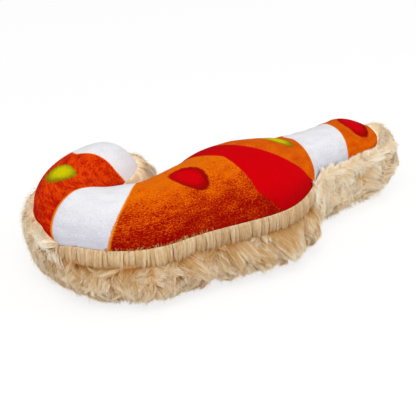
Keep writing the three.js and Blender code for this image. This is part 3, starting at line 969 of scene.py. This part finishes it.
def make_overhang(finish):
    """Wisps that lie from the tufts' lip over the printed panel's edge, so that no clean line shows there."""
    random = np.random.default_rng(37)
    side, length, way = sown(random, 30000, overhang_chance)
    count = len(side)
    _, _, own = nearest_wisp(random, side, length, np.zeros(count), 3.2)
    centre, lean, fade = stations(way)
    root = pile_skin(way, side, np.full(count, -0.55 * LIP))
    crown = along_cane(centre, CROWNS)
    climb = (4.0 * own[:, 0] ** 2 + 0.5) * random.random(count) * (1 - 0.5 * smooth((centre - 110) / 20))
    lie = np.arcsin(np.clip(0.85 * lip_rise(way, side) / crown, 0.02, 0.8)) + climb * fade / crown
    lay = length + 2.5 * (own[:, 1] - 0.3) + random.normal(0, 0.7, count)
    turn = np.where(side > 0, lie, np.pi - lie)
    out = outward(way, side, np.zeros(count)) * 0.5 + np.array([0, 0, 0.8])
    tip_way = np.clip(way_at(side, lay) - lean * climb, 0, WAY_LENGTH)
    tip = printed_dome(tip_way, turn) + out * random.uniform(1.2, 2.6, count)[:, None]
    knee = (root + tip) / 2 + out * 1.8
    shade = 0.8 + 0.3 * (own[:, 2] - 0.5) + random.normal(0, 0.15, count)
    width = random.uniform(0.15, 0.3, count)
    facing = unit(out + random.normal(0, 0.2, (count, 3)))
    make_strands("fur_overhang", root, knee, tip, facing, width, shade, finish, FLUFFY)


def make_flyaway(finish):
    """Fine single strands that stand off the pile all round, so that its edge is fuzzy."""
    random = np.random.default_rng(29)
    side, length, way = sown(random, 40000, lambda *at: 0.3 - 0.1 * calm(*at))
    count = len(side)
    combed = calm(side, way)
    highest = 11.0 * combed - 0.9 * LIP * (1 - combed)
    depth = highest + (30 - highest) * random.random(count)
    out = outward(way, side, np.arcsin(np.maximum(depth, 0) / (STUFFING_DEPTH * 1.6)))
    out = out + np.array([0, 0, 1.0]) * np.clip(-depth / LIP, 0, 1)[:, None]
    root = pile_skin(way, side, depth, 0.9)
    tip_way = way_at(side, length + random.normal(1.0, 2.0, count))
    reach = random.uniform(1.0, 3.0, count)
    tip = pile_skin(tip_way, side, depth + random.uniform(0.5, 4.0, count), 0.95) + out * reach[:, None]
    knee = (root + tip) / 2 + out * (0.5 * reach)[:, None]
    facing = unit(out + random.normal(0, 0.4, (count, 3)))
    width = random.uniform(0.07, 0.13, count)
    shade = random.normal(0.7, 0.15, count)
    make_strands("fur_flyaway", root, knee, tip, facing, width, shade, finish, FLUFFY)


def make_under_pile(finish):
    """Pile pressed flat under the toy: strands that lie along the floor in every direction."""
    random = np.random.default_rng(31)
    count = UNDER_STRANDS
    side, length = along_outline(random, count)
    way = way_at(side, length)
    inset = 0.38 + 0.62 * random.random(count)
    rim = pile_skin(way, side, np.full(count, PILE_FOOT))
    root = rim + (backing(way, side, np.full(count, np.pi / 2)) - rim) * inset[:, None]
    root[:, 2] = 4.5 + random.random(count)
    heading = random.random(count) * 2 * np.pi
    lay = np.stack([np.cos(heading), np.sin(heading), np.zeros(count)], -1)
    tip = root + lay * random.uniform(3, 6, count)[:, None]
    tip[:, 2] = random.uniform(0.2, 1.2, count)
    knee = root + lay * 2.0
    knee[:, 2] = 0.2
    shade = random.normal(0.5, 0.15, count)
    facing = np.tile([0.0, 0.0, -1.0], (count, 1))
    width = random.uniform(0.4, 0.7, count)
    make_strands("fur_under_pile", root, knee, tip, facing, width, shade, finish)


def backing_finish():
    """The fur's knitted ground between the strands: noise in tan, and in cream where the pile is tousled."""
    finish = Finish("fur_ground", Roughness=0.95)
    ground = finish.noise(260.0, 4.0, 0.6)
    # Painted shade and light in the ground's tints: the tan stands for the warm shade deep in the combed
    # pile, and the cream lifts the gaps between the tousled tufts.
    tan = finish.mix(ground.ramp(0.3, 0.7), tint(184, 124, 62), tint(216, 164, 100))
    cream = finish.mix(ground.ramp(0.3, 0.7), tint(236, 204, 156), tint(252, 236, 204))
    return finish.dressed(finish.mix(finish.number("tousled"), tan, cream), ground, 0.5, 0.002)


def make_fur_ground():
    """The ground on a grid along and across the cane, as a closed bowl under the seam."""
    rows, columns = 300, 92
    way, turn = np.meshgrid(np.linspace(0, WAY_LENGTH, rows), np.linspace(-1, 1, columns), indexing="ij")
    side = np.where(turn < 0, -1.0, 1.0)
    points = fur_ground(way, side, (0.985 * SEAM_HEIGHT + LIP) * (1 - np.abs(turn)) - LIP)
    mesh = mesh_of("fur_ground", points.reshape(-1, 3), grid_faces(rows, columns))
    set_number(mesh, "tousled", 1 - calm(side, way))
    close_poles(mesh)
    smooth_shaded(mesh)
    piece = add_piece("fur_ground", mesh, backing_finish())
    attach(piece, "root")
    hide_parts("fur_back")


def make_fur():
    """The ground, then every kind of strand on it, with the skirt cut into stretches of even length."""
    finish = fur_finish()
    make_fur_ground()
    make_combed_band(finish)
    cuts = np.linspace(0, WAY_LENGTH + 1, SKIRT_STRETCHES + 1)
    for part in range(SKIRT_STRETCHES):
        make_skirt(f"fur_skirt_{part + 1}", 41 + part, cuts[part:part + 2], finish)
    make_end_tufts(finish)
    make_caught_pile(finish)
    make_overhang(finish)
    make_flyaway(finish)
    make_under_pile(finish)


# Pieces inside the cane


def fibre_finish():
    """Loose white fibre: fine noise in its colour and its bumps."""
    finish = Finish("fibre_fill", Roughness=0.9, Sheen_Weight=0.3)
    wisps = finish.noise(180.0, 5.0, 0.7)
    colour = finish.mix(wisps, tint(226, 224, 218), tint(252, 251, 248))
    return finish.dressed(colour, wisps, 0.6, 0.003)


def thread_finish():
    """Spun thread: slanting waves for its twist."""
    finish = Finish("sewing_thread", Roughness=0.65)
    plies = {"Vector": finish.place(), "Scale": 900.0}
    twist = finish.node("TexWave", {"bands_direction": "DIAGONAL"}, plies, "Fac")
    colour = finish.mix(twist, tint(206, 190, 158), tint(240, 230, 206))
    return finish.dressed(colour, twist, 0.5, 0.0002)


def pouch_finish():
    """Non-woven sheet: matted noise, finer than the fibre's."""
    finish = Finish("pouch_sheet", Roughness=0.85)
    fibres = finish.noise(420.0, 5.0, 0.75)
    colour = finish.mix(fibres.ramp(0.3, 0.7), tint(220, 212, 194), tint(242, 238, 226))
    return finish.dressed(colour, fibres, 0.4, 0.0004)


def leaf_finish():
    """Crumbled leaf: small cells in greens, a few of them brown."""
    finish = Finish("dried_leaf", Roughness=0.9)
    flakes = finish.node("TexVoronoi", {}, {"Vector": finish.place(), "Scale": 700.0}, "Color")
    flake = finish.node("SeparateColor", {}, {0: flakes}, 0)
    crumbs = finish.mix(flake, tint(92, 104, 52), tint(142, 146, 84))
    colour = finish.mix(flake.ramp(0.86, 0.9), crumbs, tint(150, 122, 78))
    return finish.dressed(colour, flake, 0.8, 0.001)


def dress_inside():
    """Gives the CAD nodes that stay their finishes, by material slot."""
    finishes = {
        "fibre_fill": fibre_finish(),
        "sewing_thread": thread_finish(),
        "pouch_sheet": pouch_finish(),
        "dried_leaf": leaf_finish(),
    }
    for part in frame["record"]["subparts"]:
        finish = finishes.get(part["material_slot"])
        if finish:
            materials = frame["nodes"][part["node"]].data.materials
            materials.clear()
            materials.append(finish)


# Stage, light and camera


# The rays that see the plain white background, the floor's share of white to them, and the even light
SEEN_RAYS = ("Is Camera Ray", "Is Glossy Ray", "Is Transmission Ray")
WHITE_SHARE = 0.75
STUDIO_LIGHT = 0.62

# Lamps: name, place and size in metres, and power in watts
LAMPS = (
    ("key", (-0.5, -0.5, 1.0), 0.9, 7.0),
    ("fill", (0.9, -0.6, 0.5), 0.9, 2.5),
)


def seen_rays(nodes):
    """1 for the rays that see the plain white background, and 0 for the others."""
    return sum(nodes.node("LightPath", {}, {}, kind) for kind in SEEN_RAYS).least(1)


def floor_finish():
    """White floor: part of what the camera sees is plain white, and the rest keeps the shadow."""
    finish = Finish("floor", Base_Color=(0.9, 0.9, 0.9, 1), Roughness=0.9, Specular_IOR_Level=0.0)
    lit = Value(finish, finish.shader.outputs[0])
    paper = finish.node("Emission", {}, {"Color": (1, 1, 1, 1), "Strength": 1.05})
    blend = finish.node("MixShader", {}, {0: seen_rays(finish) * WHITE_SHARE, 1: lit, 2: paper})
    finish.feed(finish.tree.nodes["Material Output"].inputs["Surface"], blend)
    return finish.material


def make_floor():
    """A wide square at the height of nought."""
    reach = 4000.0
    corners = np.array([[-reach, -reach, 0], [reach, -reach, 0], [reach, reach, 0], [-reach, reach, 0]])
    square = mesh_of("floor", corners, np.array([[0, 1, 2, 3]]))
    add_piece("floor", square, floor_finish())


def make_world():
    """Even studio light, seen as plain white by the camera."""
    world = bpy.data.worlds.new("studio")
    world.use_nodes = True
    bpy.context.scene.world = world
    studio = Nodes(world.node_tree)
    background = studio.tree.nodes["Background"].inputs
    studio.feed(background["Color"], (1, 1, 1, 1))
    studio.feed(background["Strength"], seen_rays(studio) * (1 - STUDIO_LIGHT) + STUDIO_LIGHT)


def aim(thing, target):
    """Turns a lamp or camera, which looks along its own -Z, toward a point."""
    way = np.array(target) - np.array(thing.location)
    across = math.hypot(way[0], way[1])
    thing.rotation_euler = (math.atan2(across, -way[2]), 0.0, math.atan2(-way[0], way[1]))


def add_lamp(name, place, size, power):
    """A round area lamp that is aimed at the toy's middle."""
    light = bpy.data.lights.new(name, "AREA")
    light.shape = "DISK"
    light.size = size
    light.energy = power
    lamp = add_object(name, light)
    lamp.location = place
    aim(lamp, (0, 0, 0.03))


# The photograph's view, found by fitting the seam and the outline
VIEW_AZIMUTH = -36.5
VIEW_ELEVATION = 28.85
VIEW_DISTANCE = 0.6548
VIEW_LENS = 100.0
VIEW_TARGET = ((CROOK_X + 49.3) * MM, (CROOK_Y - 6.4) * MM, 0.0203)


def make_camera():
    """A camera on a sphere round its target, at an azimuth and an elevation."""
    data = bpy.data.cameras.new("camera")
    data.lens = VIEW_LENS
    data.sensor_width = 36.0
    data.clip_start = 0.01
    camera = add_object("camera", data)
    azimuth, elevation = math.radians(VIEW_AZIMUTH), math.radians(VIEW_ELEVATION)
    level = VIEW_DISTANCE * math.cos(elevation)
    offset = (level * math.sin(azimuth), -level * math.cos(azimuth), VIEW_DISTANCE * math.sin(elevation))
    camera.location = np.array(VIEW_TARGET) + np.array(offset)
    aim(camera, VIEW_TARGET)
    bpy.context.scene.camera = camera


make_printed_face()
make_fur()
dress_inside()
make_floor()
make_world()
for lamp in LAMPS:
    add_lamp(*lamp)
make_camera()
bpy.context.scene.view_settings.view_transform = "Standard"
